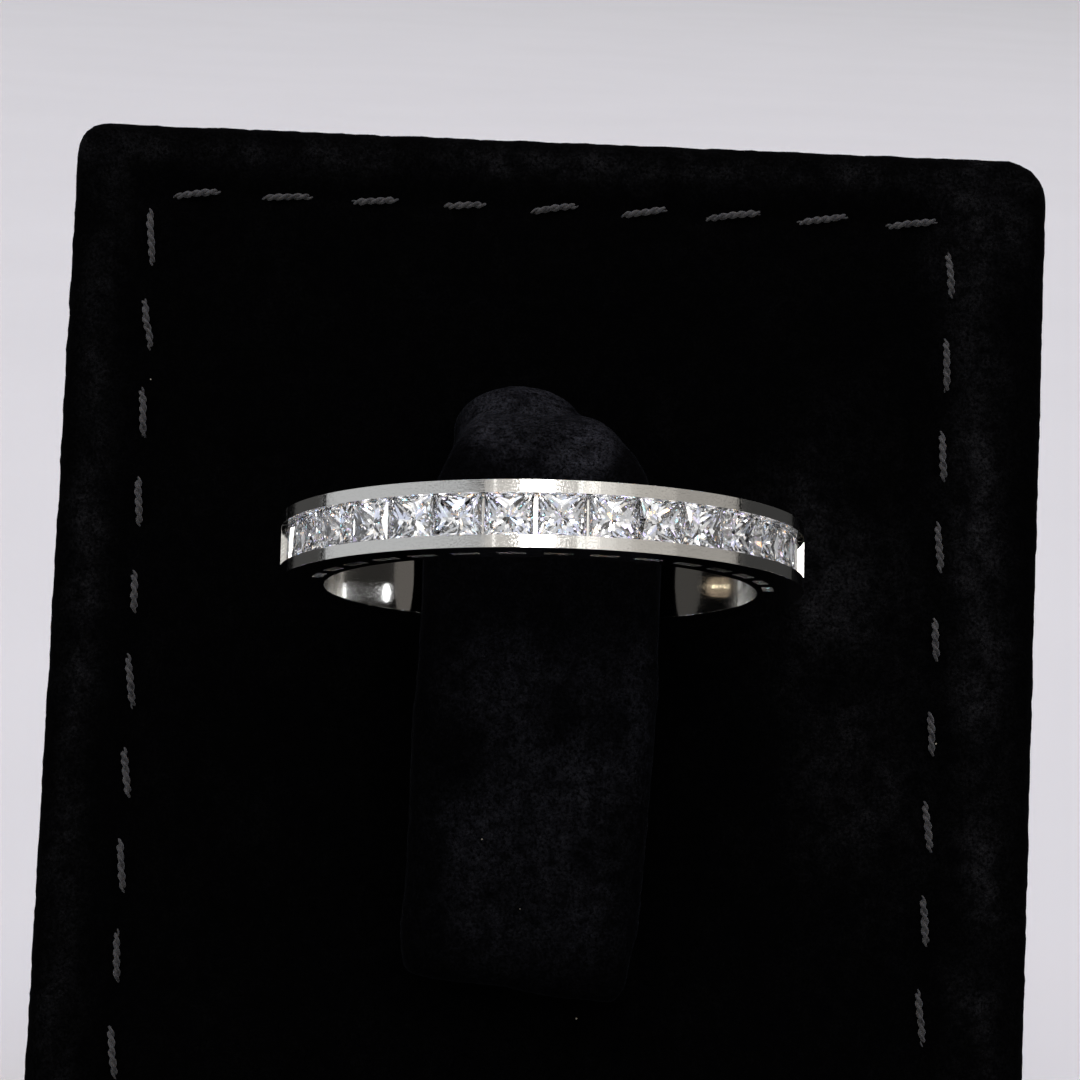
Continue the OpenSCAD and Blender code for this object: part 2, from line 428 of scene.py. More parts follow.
def level_row(z, first, last, count):
    """Middles of the stitches of a level row, drawn in a little as the board tapers to its foot."""
    taper = 1 - board_foot_taper * (1 - z / board_h)
    return [(x * taper, z) for x in row_of(first, last, count)]


def side_row(ends, first, last, count):
    """Middles of the stitches of a side row, from its top down."""
    return [(side_of_border(ends, z), z) for z in row_of(first, last, count)]


thread = thread_finish()
rightwards = (1, 0)
downwards = (0, -1)
# Each row: the middles of its stitches, which way it runs, and how high and how slanted its stitches are.
stitch_rows = {
    "stitches_top": (level_row(border_top, -16.4, 15.85, 9), rightwards, 0.33, 0.13),
    "stitches_foot": (level_row(border_foot, -14.3, 14.3, 8), rightwards, 0.29, 0.1),
    "stitches_left": (side_row(border_left, 49.1, 8.8, 11), downwards, 0.29, 0.12),
    "stitches_right": (side_row(border_right, 48.85, 7.4, 11), downwards, 0.31, 0.07),
}
for row_name, row in stitch_rows.items():
    fitted(row_name, sewn_stitches(row_name, *row), board_place, thread)

# The easel leg behind the board. Stiff card covered in black suede cloth: its top is glued to the
# board's back, and below a scored fold it swings out and stands on its own foot.
def suede_finish():
    """Suede cloth over card: nearly black, with a fine nap and a faint grain."""
    finish, nodes, links, shader = new_finish("leg_suede")
    point = in_millimetres(nodes, links)
    grain = node(nodes, "TexNoise", Scale=3.5, Detail=5, Roughness=0.75)
    cloud = node(nodes, "TexNoise", Scale=0.25, Detail=3)
    for texture in (grain, cloud):
        links.new(point, texture.inputs["Vector"])
    worn = combined(nodes, links, "MULTIPLY", shaped(nodes, links, grain.outputs["Fac"], 0.32, 0.68),
                    shaped(nodes, links, cloud.outputs["Fac"], 0.35, 0.65, 0.3, 1.0))
    links.new(mixed(nodes, links, worn, (0.0015, 0.0015, 0.0018), (0.018, 0.018, 0.02)),
              shader.inputs["Base Color"])
    relief = node(nodes, "Bump", Strength=0.35, Distance=0.03 * MM)
    links.new(grain.outputs["Fac"], relief.inputs["Height"])
    links.new(relief.outputs["Normal"], shader.inputs["Normal"])
    shader.inputs["Roughness"].default_value = 0.92
    shader.inputs["Specular IOR Level"].default_value = 0.05
    shader.inputs["Sheen Weight"].default_value = 0.03
    return finish


leg_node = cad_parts["easel_leg"]
leg_node.data.materials.clear()
leg_node.data.materials.append(suede_finish())

# The tongue. A foam strip in the same velvet, which comes out of a slit in the board above the ring,
# bends down through the finger hole and lies against the board below. It grips the ring.
tongue_rings = 150
tongue_sides = 96
tongue_voxel = 0.2
# Stations down its middle: height from the ring, distance off the board, path angle from level,
# half width, half thickness, and place to the right of the ring's middle.
tongue_stations = [
    (6.3, -0.3, 0, 3.6, 1.6, -0.6),
    (6.3, 0.7, 4, 3.6, 1.6, -0.6),
    (6.25, 1.8, 16, 3.5, 1.55, -0.5),
    (5.9, 3.05, 36, 3.65, 1.5, -0.3),
    (5.0, 4.1, 60, 4.25, 1.47, -0.1),
    (3.6, 4.5, 82, 4.85, 1.45, 0),
    (1.5, 4.55, 90, 5.15, 1.42, 0),
    (-1.5, 4.55, 90, 5.15, 1.42, 0.02),
    (-4.5, 4.55, 91, 5.2, 1.45, 0.02),
    (-6.5, 4.3, 98, 5.2, 1.5, -0.05),
    (-9.5, 3.6, 103, 5.15, 1.5, -0.12),
    (-13.5, 2.6, 104, 5.1, 1.45, -0.25),
    (-16.0, 2.0, 104, 4.95, 1.3, -0.5),
    (-16.9, 1.78, 104, 4.75, 1.0, -0.58),
    (-17.3, 1.68, 104, 4.45, 0.55, -0.6),
    (-17.4, 1.66, 104, 4.1, 0.1, -0.6),
]
tongue_end_slant = 0.1
# The stuffing bulges at its root, high on the left and lower on the right, over a dark crease.
# Each bulge: place right of the ring, distance off the board, height from the ring, and its radii.
tongue_bulges = [((-1.25, 0.9, 7.15), (2.95, 1.95, 2.05)), ((1.6, 1.6, 6.2), (1.8, 1.55, 1.25))]
crease_height = 5.85
crease_depth = 0.4

band_low, band_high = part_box("band")
ring_centre = (band_low + band_high) / 2
ring_on_board = board_place.inverted() @ ring_centre


def through(stations, share):
    """A smooth curve through the stations, for each of their numbers."""
    at = share * (len(stations) - 1)
    index = min(int(at), len(stations) - 2)
    t = at - index
    before, start, end, after = (stations[min(max(index + step, 0), len(stations) - 1)]
                                 for step in (-1, 0, 1, 2))
    return [0.5 * (2 * b + (c - a) * t + (2 * a - 5 * b + 4 * c - d) * t ** 2
                   + (3 * b - a - 3 * c + d) * t ** 3)
            for a, b, c, d in zip(before, start, end, after)]


def tongue_skin():
    """The strip swept through its stations, with the bulges at its root as balls that pass into it."""
    points = []
    for ring in range(tongue_rings + 1):
        height, off, path, half_w, half_t, side = through(tongue_stations, ring / tongue_rings)
        tilt = math.radians(path)
        for corner in range(tongue_sides):
            turn = math.tau * (corner + 0.5) / tongue_sides
            across = half_t * math.cos(turn) + math.copysign(max(half_w - half_t, 0), math.cos(turn))
            crown = 1 + 0.05 * math.cos(math.pi * across / (2 * half_w))
            out = half_t * math.sin(turn) * crown
            slant = -tongue_end_slant * across * min(1, max(0, (-height - 9) / 8))
            points.append((ring_on_board.x + side + across,
                           -off - out * math.sin(tilt),
                           ring_on_board.z + height + out * math.cos(tilt) + slant))
    faces = []
    for ring in range(tongue_rings):
        for corner in range(tongue_sides):
            first = ring * tongue_sides + corner
            second = ring * tongue_sides + (corner + 1) % tongue_sides
            faces.append((first, second, second + tongue_sides, first + tongue_sides))
    faces.append(tuple(reversed(range(tongue_sides))))
    last = tongue_rings * tongue_sides
    faces.append(tuple(range(last, last + tongue_sides)))
    mesh = closed_mesh("tongue_skin", points, faces)
    form = bmesh.new()
    form.from_mesh(mesh)
    for (side, off, height), (across_r, off_r, high_r) in tongue_bulges:
        place = Matrix.Translation((ring_on_board.x + side, -off, ring_on_board.z + height))
        bmesh.ops.create_icosphere(form, subdivisions=4, radius=1,
                                   matrix=place @ Matrix.Diagonal((across_r, off_r, high_r, 1)))
    bmesh.ops.recalc_face_normals(form, faces=form.faces)
    form.to_mesh(mesh)
    form.free()
    return mesh


def tongue_cover():
    """The strip and its bulges remeshed as one, then roughened with pile and creased at the root."""
    mesh = worked(tongue_skin(), ("REMESH", {"mode": "VOXEL", "voxel_size": tongue_voxel}),
                  ("SMOOTH", {"factor": 0.5, "iterations": 2}))
    for vertex, normal in zip(mesh.vertices, [Vector(each.vector) for each in mesh.vertex_normals]):
        height = vertex.co.z - ring_on_board.z
        across = vertex.co.x - ring_on_board.x
        by_the_band = bump_of(max(0, abs(height) - 1.5), 0.8)
        crease = (bump_of(height - crease_height + 0.16 * across, 0.28) * max(0, -normal.y)
                  * bump_of(max(0, abs(across + 0.9) - 1.2), 0.7))
        lumps = 0.07 * noise.noise(vertex.co * 0.45 + Vector((2, 9, 4))) * (1 - by_the_band)
        pile = pile_height(vertex.co * 1.1, 0.9) * (1 - by_the_band)
        vertex.co += normal * (pile + lumps - 0.03 - crease_depth * crease)
    return mesh


def tongue_painted_light(at):
    """Painted light on the tongue: painted sheen in patches on its front below the ring and on its bend
    above it, left dark as painted shadow just under the band, painted highlights on the bulges at its root,
    and a painted highlight along its right edge near the ring.
    """
    across = at.x - ring_on_board.x
    height = at.z - ring_on_board.z
    edge = bump_of(across - 4.4, 0.7) * bump_of(height + 6, 3.5)
    patches = 0.5 + 0.75 * noise.noise(Vector((at.x * 0.42, 4.4, at.z * 0.36)))
    front = bump_of(max(0, abs(height + 9.5) - 3.5), 3.0) * bump_of(max(0, abs(across) - 2.2), 1.6)
    lobe = bump_of(across, 2.2) * bump_of(height - 4.2, 1.0)
    dome = bump_of(max(0, math.hypot(across + 1.25, height - 7.6) - 1.6), 0.9)
    knuckle = bump_of(max(0, math.hypot(across - 1.4, height - 6.1) - 0.9), 0.8)
    bulges = max(dome, knuckle) * (0.35 + 0.9 * patches)
    return min(1, max(0.02, 0.5 * max(front, lobe) * patches + bulges + 0.3 * edge))


tongue_mesh = tongue_cover()
keep_painted_sheen(tongue_mesh, tongue_painted_light)
tongue_velvet = velvet_finish("tongue_velvet", black=(0.0004, 0.0004, 0.0005), lit=(0.028, 0.0285, 0.034),
                              dust_colour=pale_dust, dust_cell=1.9)
tongue = fitted("velvet_tongue", tongue_mesh, board_place, tongue_velvet)
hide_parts("tongue")

# The band. One piece of white metal, cast, bored for the finger and polished by hand. A channel runs
# round its front between two flat rails, and one small window under each stone opens through both sides.
# Its own frame, in millimetres: z along the finger, the middle stone near -y.
ring_cant = math.radians(1.2)
ring_turn = math.radians(3.9)
ring_r = 10.8
bore_r = 8.95
bore_shift = 0.55
half_band = 1.325
half_mouth = 0.825
half_groove = 1.005
half_gallery = 0.75
groove_slope_r = 10.51
groove_top_r = 10.33
groove_bottom_r = 10.15
gallery_top_r = 9.6
window_high_r = 9.575
window_low_r = 9.125
channel_floor_r = 9.065
window_l = 1.15
stone_count = 15
girdle_r = 10.28
stone_pitch = 2 * math.atan(1.01 / girdle_r)
channel_end = stone_count * stone_pitch / 2 + math.radians(0.3)
band_soft_edge = 0.045
# A window's corners among the points of half a cross-section: low and high outside, high and low inside.
low_outside, high_outside, high_inside, low_inside = 1, 2, 9, 10

ring_square = (Matrix.Translation(ring_centre) @ Matrix.Rotation(-LEAN, 4, "X")
               @ Matrix.Rotation(-ring_cant, 4, "Y"))
ring_place = ring_square @ Matrix.Rotation(ring_turn, 4, "Z") @ Matrix.Scale(MM, 4)


def stone_angle(index):
    """Angle round the ring of the stone with this number, 0 at the middle stone."""
    return (index - (stone_count - 1) / 2) * stone_pitch


def bore_at(angle):
    """Distance from the ring's centre to the finger hole, which is bored a little behind it."""
    return math.sqrt(bore_r ** 2 - (bore_shift * math.sin(angle)) ** 2) - bore_shift * math.cos(angle)


def band_angles():
    """Angles of the cross-sections, and whether a window starts at each."""
    half_window = math.asin(window_l / 2 / ((window_high_r + window_low_r) / 2))
    cuts = [(-channel_end, False)]
    for index in range(stone_count):
        cuts += [(stone_angle(index) - half_window, True), (stone_angle(index) + half_window, False)]
    cuts += [(channel_end, False), (math.tau - channel_end, False)]
    angles = []
    for (start, window), (end, _) in zip(cuts, cuts[1:]):
        steps = max(2, round((end - start) / math.radians(1.2)))
        angles += [(blend(start, end, step / steps), window) for step in range(steps)]
    return angles


def band_section(angle):
    """Distance and height of each point of half a cross-section, from the bore round to the channel."""
    outer = [(bore_at(angle), half_band), (window_low_r, half_band), (window_high_r, half_band),
             (ring_r, half_band), (ring_r, half_mouth)]
    inner = [(groove_slope_r, half_mouth), (groove_top_r, half_groove), (groove_bottom_r, half_groove),
             (gallery_top_r, half_gallery), (window_high_r, half_gallery), (window_low_r, half_gallery),
             (channel_floor_r, half_gallery)]
    return outer, inner


def band_blank():
    """The band as a mesh: open columns over the channel and its windows, full ones round the shank."""
    angles = band_angles()
    form = bmesh.new()
    columns = []
    for angle, window in angles:
        outer, inner = band_section(angle)
        in_channel = angle < channel_end + 1e-9
        half = outer + inner if in_channel else outer
        loop = half + [(r, -z) for r, z in reversed(half)]
        columns.append({
            "verts": [form.verts.new((r * math.sin(angle), -r * math.cos(angle), z)) for r, z in loop],
            "channel": in_channel, "window": window, "outer": len(outer), "all": len(loop)})
    count = len(columns)
    for index, column in enumerate(columns):
        following = columns[(index + 1) % count]
        here, ahead = column["verts"], following["verts"]
        full_span = column["channel"] and following["channel"] and index + 1 < count
        rim = column["outer"]
        if full_span:
            size = column["all"]
            open_rows = {low_outside, size - 1 - high_outside, high_inside, size - 1 - low_inside}
            gap = open_rows if column["window"] else set()
            for row in range(size):
                step = (row + 1) % size
                if row not in gap:
                    form.faces.new((here[row], ahead[row], ahead[step], here[step]))
            if column["window"]:
                window_walls(form, here, ahead, size)
        else:
            one = list(range(rim)) + list(range(-rim, 0))
            for row, step in zip(one, one[1:] + one[:1]):
                form.faces.new((here[row], ahead[row], ahead[step], here[step]))
        if index and column["window"] != columns[index - 1]["window"] and column["channel"]:
            window_end(form, here, column["all"])
    first_end = columns[0]["verts"]
    last_end = next(column for column in reversed(columns) if column["channel"])["verts"]
    rim = columns[0]["outer"]
    for end in (first_end, last_end):
        form.faces.new(end[rim - 1:len(end) - rim + 1])
    bmesh.ops.recalc_face_normals(form, faces=form.faces)
    mesh = bpy.data.meshes.new("band_blank")
    form.to_mesh(mesh)
    form.free()
    return mesh


def window_walls(form, here, ahead, size):
    """Floor and roof of the two windows between two cross-sections."""
    for outside, inside in ((low_outside, low_inside), (high_outside, high_inside)):
        for start, end in ((outside, inside), (size - 1 - outside, size - 1 - inside)):
            form.faces.new((here[start], ahead[start], ahead[end], here[end]))


def window_end(form, here, size):
    """End walls of the two windows at a cross-section."""
    corners = (low_outside, high_outside, high_inside, low_inside)
    form.faces.new([here[corner] for corner in corners])
    form.faces.new([here[size - 1 - corner] for corner in corners])


def white_metal_finish():
    """Hand-polished white metal: a mirror with faint drag marks along it and across it, fine pits
    where the buff missed, and a slight waviness."""
    finish, nodes, links, shader = new_finish("polished_white_metal")
    around = node(nodes, "UVMap", uv_map="around")
    marks = []
    for stretch, detail in (((13, 0.7, 1), 2), ((1.2, 34, 1), 3), ((14, 14, 1), 4)):
        scaled = node(nodes, "Mapping", Scale=stretch)
        links.new(around.outputs["UV"], scaled.inputs["Vector"])
        texture = node(nodes, "TexNoise", Scale=1.0, Detail=detail, Roughness=0.6)
        links.new(scaled.outputs["Vector"], texture.inputs["Vector"])
        marks.append(texture.outputs["Fac"])
    across, along, pits = marks
    wear = combined(nodes, links, "MULTIPLY", shaped(nodes, links, pits, 0.5, 0.72),
                    shaped(nodes, links, along, 0.35, 0.65))
    links.new(shaped(nodes, links, wear, 0, 1, 0.03, 0.10), shader.inputs["Roughness"])
    height = combined(nodes, links, "ADD", combined(nodes, links, "MULTIPLY", across, 0.8),
                      combined(nodes, links, "ADD", combined(nodes, links, "MULTIPLY", along, 0.5),
                               shaped(nodes, links, pits, 0.52, 0.75, 0, -1.5)))
    relief = node(nodes, "Bump", Strength=0.5, Distance=0.002 * MM)
    links.new(height, relief.inputs["Height"])
    links.new(relief.outputs["Normal"], shader.inputs["Normal"])
    shader.inputs["Base Color"].default_value = (0.86, 0.855, 0.84, 1)
    shader.inputs["Metallic"].default_value = 1
    return finish


def map_around(mesh):
    """A map of the metal in millimetres: round the ring, and across its section."""
    layer = mesh.uv_layers.new(name="around")
    for loop in mesh.loops:
        x, y, z = mesh.vertices[loop.vertex_index].co
        angle = math.atan2(x, -y)
        layer.data[loop.index].uv = (angle * ring_r, z + math.hypot(x, y))


def finished_band():
    """The band with its sharp edges softened by polishing, shaded flat right up to them."""
    mesh = worked(band_blank(),
                  ("BEVEL", {"width": band_soft_edge, "segments": 3, "limit_method": "ANGLE",
                             "angle_limit": math.radians(35), "miter_outer": "MITER_ARC"}))
    mesh.polygons.foreach_set("use_smooth", [True] * len(mesh.polygons))
    mesh = worked(mesh, ("WEIGHTED_NORMAL", {"mode": "FACE_AREA", "weight": 100, "keep_sharp": True}))
    map_around(mesh)
    return mesh


white_metal = white_metal_finish()
band = fitted("polished_band", finished_band(), ring_place, white_metal)
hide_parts("band")

# The bars of the channel. Thin polished bars of the same metal run across it under the joints of the
# stones, soldered between its walls. Where the eye looks straight in, they show as bright lines.
bar_top_r = 10.13
bar_depth = 0.18
bar_half_top = 0.985
bar_half_foot = 0.9
bar_overlap = 0.02
even_gap = 0.12
bar_tilts = {5: math.radians(1.6), 7: math.radians(-0.6)}
# How far each stone sits along the channel from its even place, which opens some gaps and shuts others.
stone_shifts = (0, 0, 0, -0.01, 0.01, -0.05, 0, 0.05, 0.075, 0.02, 0, 0, 0, 0, 0)


def facing_out(mesh):
    """The mesh with all its faces turned outwards."""
    form = bmesh.new()
    form.from_mesh(mesh)
    bmesh.ops.recalc_face_normals(form, faces=form.faces)
    form.to_mesh(mesh)
    form.free()
    return mesh


def channel_bars():
    """One box a joint, as wide as the gap over it and a little more, and narrower towards its foot."""
    points = []
    faces = []
    for index in range(stone_count - 1):
        before, after = stone_shifts[index:index + 2]
        half_w = bar_overlap + (even_gap + after - before) / 2
        under_joint = Vector(((before + after) / 2, -bar_top_r, 0))
        place = (Matrix.Rotation(stone_angle(index + 0.5), 4, "Z") @ Matrix.Translation(under_joint)
                 @ Matrix.Rotation(bar_tilts.get(index, 0), 4, "Z"))
        base = len(points)
        for depth, half in ((bar_depth, bar_half_foot), (0, bar_half_top)):
            for x, z in ((-1, -1), (1, -1), (1, 1), (-1, 1)):
                points.append(place @ Vector((x * half_w, depth, z * half)))
        for corners in ((0, 1, 2, 3), (7, 6, 5, 4), (0, 4, 5, 1), (1, 5, 6, 2), (2, 6, 7, 3), (3, 7, 4, 0)):
            faces.append([base + corner for corner in corners])
    mesh = facing_out(closed_mesh("channel_bars", points, faces))
    map_around(mesh)
    return mesh


fitted("channel_bars", channel_bars(), ring_place, white_metal, smooth=False)

# The stones. Fifteen square princess cuts of cubic zirconia, ground flat and polished, each held
# by its girdle in the grooves of the channel. Seen from the side they are a shallow crown over
# a pavilion of chevrons.
half_stone = 0.95
crown_h = 0.205
girdle_h = 0.049
pavilion_h = 1.095
half_table = 0.74 * half_stone
table_corner = 0.54 * half_stone
crown_break = (0.80, 0.83)
# Middle line of one side of the pavilion: share of half the stone, and share of the depth.
pavilion_line = [(0.66, 0.46), (0.44, 0.70), (0.22, 0.875)]
stone_lean = math.radians(2.2)
setting_seed = 127


def quarters(x, y, z):
    """A point and its three fellows, a quarter turn apart."""
    return [Vector(point) for point in ((x, y, z), (-y, x, z), (-x, -y, z), (y, -x, z))]


def princess_cut():
    """One stone, table up, its girdle's upper edge at height 0."""
    points = (quarters(half_table, table_corner, crown_h) + quarters(table_corner, half_table, crown_h)
              + quarters(half_stone, half_stone, 0) + quarters(half_stone, half_stone, -girdle_h))
    points += quarters(half_stone * crown_break[0], 0, crown_h * crown_break[1])
    for out, deep in pavilion_line:
        points += quarters(half_stone * out, 0, -girdle_h - pavilion_h * deep)
    points.append(Vector((0, 0, -girdle_h - pavilion_h)))
    culet = len(points) - 1
    faces = [(0, 4, 1, 5, 2, 6, 3, 7)]
    for side in range(4):
        last = (side + 3) % 4
        faces += [
            (side, 4 + side, 8 + side),
            (4 + last, side, 16 + side),
            (side, 8 + side, 16 + side),
            (8 + last, 4 + last, 16 + side),
            (8 + side, 8 + last, 16 + side),
            (8 + last, 8 + side, 12 + side, 12 + last),
            (12 + last, 12 + side, 20 + side),
        ]
        middles = [20 + 4 * tier + side for tier in range(len(pavilion_line))] + [culet]
        for upper, lower in zip(middles, middles[1:]):
            faces += [(12 + side, lower, upper), (12 + last, upper, lower)]
    return facing_out(closed_mesh("princess_cut", points, faces))


def zirconia_finish():
    """Clear cubic zirconia: colourless, highly refractive and fully polished."""
    finish, nodes, links, shader = new_finish("cubic_zirconia")
    shader.inputs["Base Color"].default_value = (0.985, 0.99, 1.0, 1)
    shader.inputs["Roughness"].default_value = 0.0
    shader.inputs["IOR"].default_value = 2.16
    shader.inputs["Transmission Weight"].default_value = 1
    return finish


zirconia = zirconia_finish()
setting_chance = random.Random(setting_seed)
for index in range(stone_count):
    lean_x, lean_y = (setting_chance.uniform(-1, 1) * stone_lean for _ in range(2))
    spot = Matrix.Translation((stone_shifts[index], -girdle_r, 0))
    seat = (ring_place @ Matrix.Rotation(stone_angle(index), 4, "Z") @ spot
            @ Matrix.Rotation(math.pi / 2, 4, "X") @ Matrix.Rotation(lean_x, 4, "X")
            @ Matrix.Rotation(lean_y, 4, "Y"))
    stone = fitted(f"princess_stone_{index + 1:02d}", princess_cut(), seat, zirconia,
                   smooth=False)
    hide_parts(f"stone_{index + 1:02d}")

# The studio: a pale floor, and soft lights in front, to the sides and above, placed as a jeweller's
# photographer sets them, so that the polished rails mirror each light along its own stretch.
floor_reach = 8.0
lamp_distance = 2.6
flag_distance = 0.5


def stage_card(name, centre, width, height, facing, material):
    """A flat card whose face looks along facing."""
    mesh = closed_mesh(name, [(-width / 2, -height / 2, 0), (width / 2, -height / 2, 0),
                              (width / 2, height / 2, 0), (-width / 2, height / 2, 0)], [(0, 1, 2, 3)])
    mesh.materials.append(material)
    card = bpy.data.objects.new(name, mesh)
    card.location = centre
    card.rotation_euler = Vector(facing).to_track_quat("Z", "Y").to_euler()
    bpy.context.scene.collection.objects.link(card)
    return card


def floor_finish():
    """The floor of the studio: pale and matt, with the faintest clouding."""
    finish, nodes, links, shader = new_finish("studio_floor")
    point = in_millimetres(nodes, links)
    grain = node(nodes, "TexNoise", Scale=0.02, Detail=3)
    links.new(point, grain.inputs["Vector"])
    links.new(mixed(nodes, links, grain.outputs["Fac"], (0.52, 0.52, 0.523), (0.56, 0.56, 0.563)),
              shader.inputs["Base Color"])
    shader.inputs["Roughness"].default_value = 0.85
    shader.inputs["Specular IOR Level"].default_value = 0.15
    return finish


def hide_from(thing, *rays):
    """Leaves a light or a card out of what these kinds of rays meet."""
    for ray in rays:
        setattr(thing, f"visible_{ray}", False)


floor = stage_card("studio_floor", (0, 0, 0), 2 * floor_reach, 2 * floor_reach, (0, 0, 1), floor_finish())
hide_from(floor, "glossy", "transmission")


def bearing(azimuth, elevation, distance):
    """A place round the ring: azimuth 0 is straight in front, and positive goes to the right."""
    turn = math.radians(azimuth)
    rise = math.radians(elevation)
    way = Vector((math.sin(turn) * math.cos(rise), -math.cos(turn) * math.cos(rise), math.sin(rise)))
    return ring_centre + distance * way


def soft_light(name, shape, wide, high, radiance, colour):
    """A flat light of this width and height in metres, as bright all over as radiance says."""
    lamp = bpy.data.lights.new(name, "AREA")
    lamp.shape = shape
    lamp.size = wide
    lamp.size_y = high
    filled = math.pi / 4 if shape == "ELLIPSE" else 1
    lamp.energy = math.pi * filled * lamp.size * lamp.size_y * radiance
    lamp.color = colour
    light = bpy.data.objects.new(name, lamp)
    bpy.context.scene.collection.objects.link(light)
    return light


def softbox(name, azimuths, elevations, radiance, colour, tilt=0.0):
    """A soft light that fills these azimuths and elevations as the ring sees them."""
    wide = math.radians(azimuths[1] - azimuths[0]) / 2
    high = math.radians(elevations[1] - elevations[0]) / 2
    light = soft_light(name, "RECTANGLE", 2 * lamp_distance * math.tan(wide),
                       2 * lamp_distance * math.tan(high), radiance, colour)
    light.location = bearing(sum(azimuths) / 2, sum(elevations) / 2, lamp_distance)
    facing = (light.location - ring_centre).to_track_quat("Z", "Y").to_matrix()
    light.rotation_euler = (facing @ Matrix.Rotation(math.radians(tilt), 3, "Z")).to_euler()
    hide_from(light, "camera")
    return light


cool = (0.97, 0.985, 1.0)
warm = (1.0, 0.95, 0.88)
neutral = (1.0, 0.99, 0.97)
softbox("left_softbox", (-111, -29), (7, 21), 0.53, cool, 17)
softbox("right_softbox", (22, 62), (14, 30), 0.50, warm, -13)
softbox("near_right_softbox", (22, 43), (16, 34), 0.16, neutral, -10)
softbox("nearer_right_softbox", (22, 34), (16, 36), 0.15, neutral, -6)
softbox("far_right_softbox", (62, 95), (3, 19), 0.36, warm, -19)
softbox("front_softbox", (-25, 22), (20, 40), 0.56, (1.0, 0.96, 0.91))
softbox("left_edge_strip", (-24.6, -22.8), (20, 40), 0.8, neutral)
softbox("right_edge_strip", (18.2, 20.0), (20, 40), 1.0, (0.96, 1.0, 0.93))
softbox("front_lamp", (-9.2, 4), (25, 32), 7.0, neutral)
softbox("top_softbox", (-40, 40), (65, 110), 0.6, neutral)
softbox("rear_left_softbox", (-168, -122), (14, 60), 0.45, cool)
softbox("rear_right_softbox", (122, 168), (14, 60), 0.45, neutral)
softbox("dim_left_card", (-140, -112), (-14, 8), 0.06, neutral, 17)
softbox("dim_right_card", (96, 140), (-14, 6), 0.045, neutral, -19)

# The floor is hidden from the mirrors of the ring, and these stand for its pale glow in them.
for side, azimuths in (("left", (-130, -60)), ("right", (60, 130)), ("rear", (150, 210))):
    softbox(f"{side}_floor_glow", azimuths, (-52, -17), 0.5, neutral)

# Faint lights beside the tongue, which only the metal mirrors, give the inside of the shank its grey
# gleam and its highlights. Each: place in millimetres from the ring's middle, size, radiance, colour.
shank_lights = [
    ("left_gleam", (-5.3, 7.2, 0.4), (0.7, 4.2), 0.11, (1.0, 0.92, 0.84)),
    ("left_shimmer", (-5.3, 6.1, 0.4), (1.8, 4.2), 0.022, warm),
    ("left_highlight", (-5.35, 6.65, -0.47), (0.2, 0.84), 2.5, cool),
    ("right_gleam", (5.35, 6.85, 0.4), (0.8, 4.2), 0.05, warm),
    ("right_glow", (5.35, 6.24, 0.07), (0.22, 0.9), 0.33, (1.0, 0.78, 0.55)),
    ("right_highlight", (5.36, 6.25, 0.1), (0.06, 0.2), 2.0, (1.0, 0.88, 0.6)),
]
for name, place, (wide, high), radiance, colour in shank_lights:
    gleam = soft_light(name, "ELLIPSE", wide * MM, high * MM, radiance, colour)
    outwards = math.copysign(math.pi / 2, -place[0])
    facing = Matrix.Rotation(outwards, 4, "Y") @ Matrix.Rotation(math.pi / 2, 4, "Z")
    gleam.matrix_world = ring_square @ Matrix.Translation(Vector(place) * MM) @ facing
    hide_from(gleam, "camera", "diffuse", "transmission")

# Panels and small lamps round the front, off the band that the rails mirror, are for the facets of
# the stones: the panels shade them and the small lamps make them sparkle.
panel_count = 26
small_lamp_count = 24
golden_share = 0.618034
panel_tints = [(0.52, 0.62, 1.0), (1.0, 0.80, 0.58), (0.74, 0.92, 1.0), (0.72, 0.56, 1.0)]
for index in range(panel_count):
    azimuth = -180 + 360 * ((index * golden_share + 0.37) % 1)
    elevation = (42, 61, 78, 52, -22, 46, 70)[index % 7]
    half = (5, 9, 7)[index % 3]
    softbox(f"panel_{index + 1:02d}", (azimuth - half, azimuth + half), (elevation - half, elevation + half),
            (0.8, 1.1, 0.5, 1.7)[index % 4], panel_tints[index % 4], 37 * index)
lamp_tints = [(1.0, 0.97, 0.93), (0.35, 0.58, 1.0), (1.0, 0.42, 0.12), (0.95, 0.97, 1.0), (0.45, 0.38, 1.0),
              (1.0, 0.74, 0.4), (0.3, 0.9, 1.0)]
for index in range(small_lamp_count):
    azimuth = -98 + 196 * ((index * golden_share) % 1)
    elevation = (44, 58, 72, 38, 50)[index % 5]
    softbox(f"small_lamp_{index + 1:02d}", (azimuth - 2.4, azimuth + 2.4), (elevation - 2, elevation + 2),
            9.0, lamp_tints[index % 7])

# Large faint cards in soft colours, which only the light inside the stones meets, tint some facets.
# Each: azimuth, elevation and tint.
tint_half = 18
tint_cards = [
    (-75, 38, (0.4, 0.55, 1.0)),
    (-20, 62, (1.0, 0.82, 0.55)),
    (48, 52, (0.5, 0.55, 1.0)),
    (105, 30, (0.4, 0.8, 1.0)),
    (-40, -12, (0.5, 0.6, 1.0)),
]
for index, (azimuth, elevation, tint) in enumerate(tint_cards):
    tint_card = softbox(f"tint_card_{index + 1}", (azimuth - tint_half, azimuth + tint_half),
                        (elevation - tint_half, elevation + tint_half), 0.36, tint, 53 * index)
    hide_from(tint_card, "diffuse", "glossy")

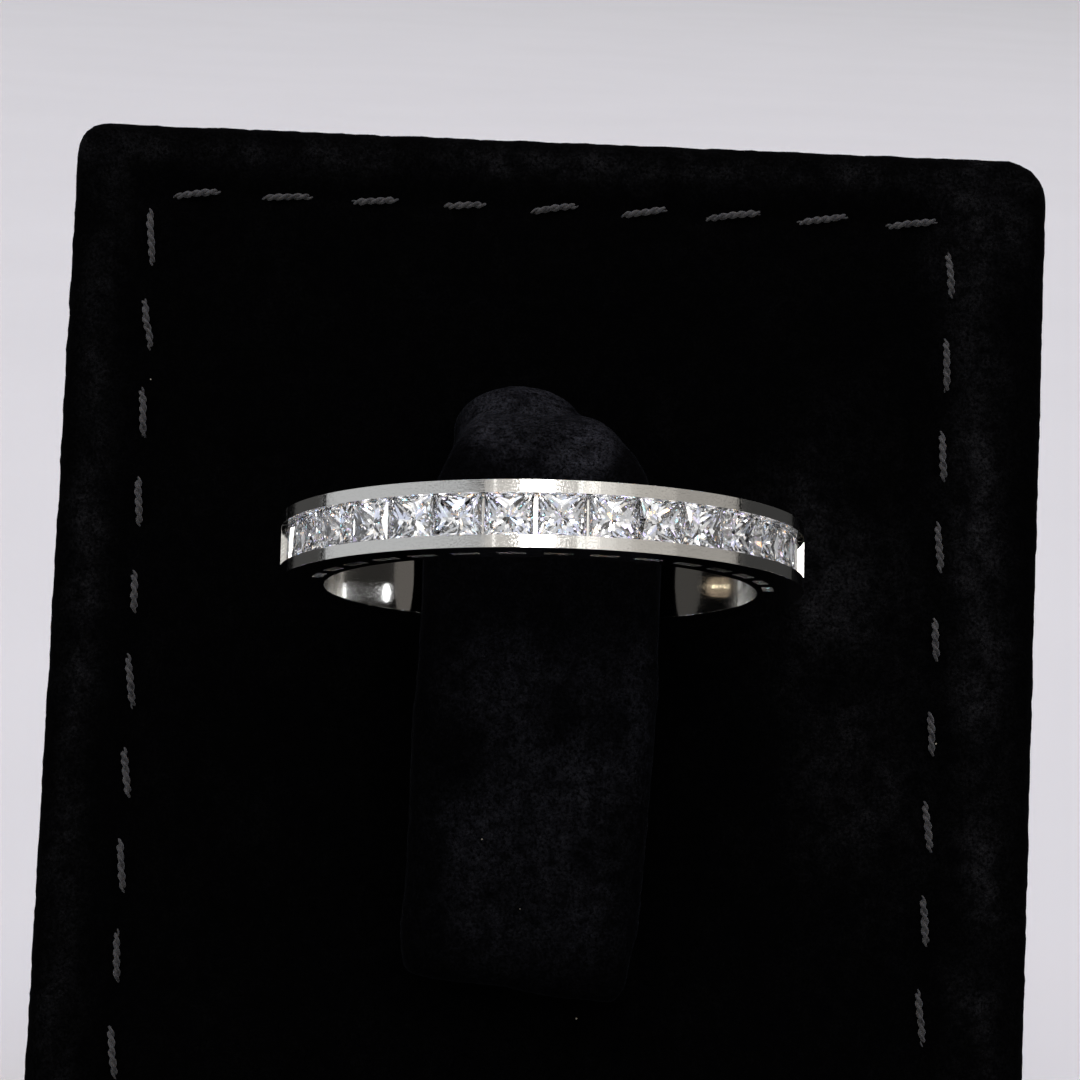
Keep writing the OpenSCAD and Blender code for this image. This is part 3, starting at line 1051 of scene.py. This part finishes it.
# Black flags beside the ring, which only the light inside the stones meets, keep some facets dark.
# Each: azimuth, elevation, half width and half height in degrees.
black_flags = [
    (-98, 22, 16, 9),
    (-80, -6, 14, 8),
    (-62, 27, 10, 8),
    (97, 24, 16, 9),
    (80, -5, 14, 8),
    (58, 36, 9, 7),
]
flag_black, _, _, flag_shader = new_finish("black_flag")
flag_shader.inputs["Base Color"].default_value = (0.004, 0.004, 0.005, 1)
for index, (azimuth, elevation, half_wide, half_high) in enumerate(black_flags):
    spot = bearing(azimuth, elevation, flag_distance)
    wide, high = (2 * flag_distance * math.tan(math.radians(half)) for half in (half_wide, half_high))
    flag = stage_card(f"black_flag_{index + 1}", spot, wide, high, ring_centre - spot, flag_black)
    hide_from(flag, "camera", "diffuse", "glossy", "shadow")

# The walls of the room light everything a little from all round, but no mirror shows them.
room = bpy.data.worlds.new("studio")
bpy.context.scene.world = room
room.use_nodes = True
room_light = room.node_tree.nodes["Background"].inputs
room_light["Color"].default_value = (0.93, 0.94, 0.96, 1)
room_light["Strength"].default_value = 0.54
room.cycles_visibility.glossy = False
scene = bpy.context.scene
scene.view_settings.view_transform = "Standard"
scene.cycles.max_bounces = 16
scene.cycles.transmission_bounces = 14
scene.cycles.glossy_bounces = 10

# The camera, at the photograph's angle: a long lens 15 cm in front of the ring. It stands a little
# below the plane of the ring, which leans back, and looks down at the ring by 11 degrees.
camera_distance = 14 * ring_r * MM
camera_rise = math.radians(9.25)
camera_roll = math.radians(1.23)
camera_left = 0.007 * ring_r * MM
camera_above = 0.066 * ring_r * MM
camera_focal = 122.1

turned = ring_square.to_3x3()
away = turned @ Vector((0, math.cos(camera_rise), math.sin(camera_rise)))
level_right = turned @ Vector((1, 0, 0))
level_up = turned @ Vector((0, -math.sin(camera_rise), math.cos(camera_rise)))
camera_right = level_right * math.cos(camera_roll) + level_up * math.sin(camera_roll)
camera_up = level_up * math.cos(camera_roll) - level_right * math.sin(camera_roll)

camera_data = bpy.data.cameras.new("camera")
camera_data.sensor_width = 36
camera_data.lens = camera_focal
camera_data.clip_start = 0.005
camera_data.clip_end = 50
camera = bpy.data.objects.new("camera", camera_data)
camera_spot = (ring_centre - camera_distance * away - camera_left * camera_right
               + camera_above * camera_up)
axes = Matrix((camera_right, camera_up, -away)).transposed()
camera.matrix_world = Matrix.Translation(camera_spot) @ axes.to_4x4()
scene.collection.objects.link(camera)
scene.camera = camera
